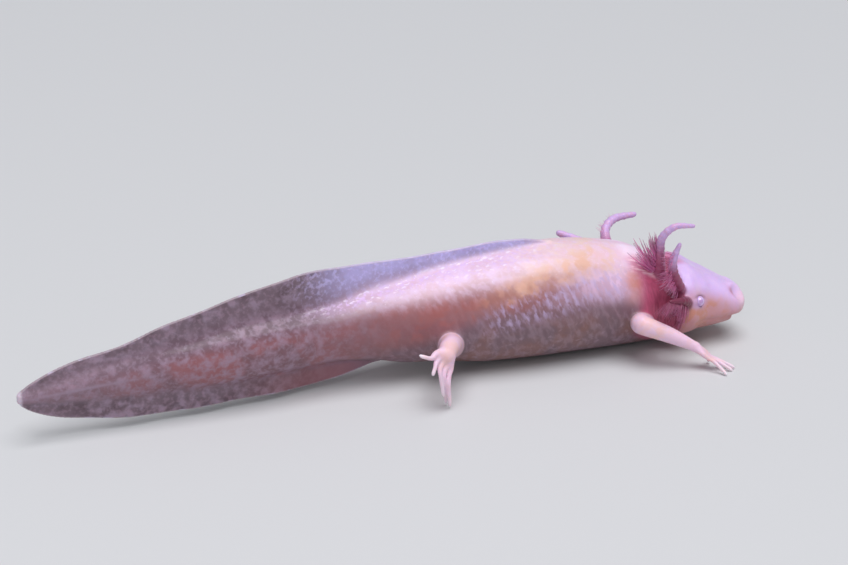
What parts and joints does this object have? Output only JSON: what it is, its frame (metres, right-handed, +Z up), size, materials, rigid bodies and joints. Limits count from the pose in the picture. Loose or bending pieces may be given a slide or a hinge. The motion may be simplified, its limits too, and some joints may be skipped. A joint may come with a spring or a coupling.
{
  "type": "axolotl",
  "caption": "Pale golden axolotl walking on a flat floor, head turned aside, with feathery branched gills, a low back fin, splayed legs and a long finned tail.",
  "frame": {"origin": "middle of the model's box at floor level", "axes": "+X forwards along the body towards the snout, +Y to the animal's left, +Z up from the floor"},
  "size_m": [0.2234, 0.0706, 0.0445],
  "materials": {
    "skin": "wet gloss",
    "face": "wet gloss",
    "tail": "wet gloss",
    "fin": "wet, faintly translucent",
    "leg": "wet gloss",
    "gill": "soft wet",
    "eye": "clear gloss"
  },
  "bodies": {
    "root": {"tail_tip": "tail", "tail_middle": "tail", "tail_base": "tail", "trunk": "skin", "neck": "skin", "head": "face", "lower_jaw": "face", "eye_left": "eye", "eye_right": "eye", "dorsal_fin": "fin", "tail_fin_upper": "fin", "tail_fin_lower": "fin", "foreleg_right_upper": "leg", "foreleg_right_lower": "leg", "hand_right": "leg", "foreleg_left_upper": "leg", "foreleg_left_lower": "leg", "hand_left": "leg", "hindleg_right_upper": "leg", "hindleg_right_lower": "leg", "foot_right": "leg", "hindleg_left_upper": "leg", "hindleg_left_lower": "leg", "foot_left": "leg", "gill_right_1": "gill", "gill_right_2": "gill", "gill_right_3": "gill", "gill_left_1": "gill", "gill_left_2": "gill", "gill_left_3": "gill"}
  },
  "joints": []
}
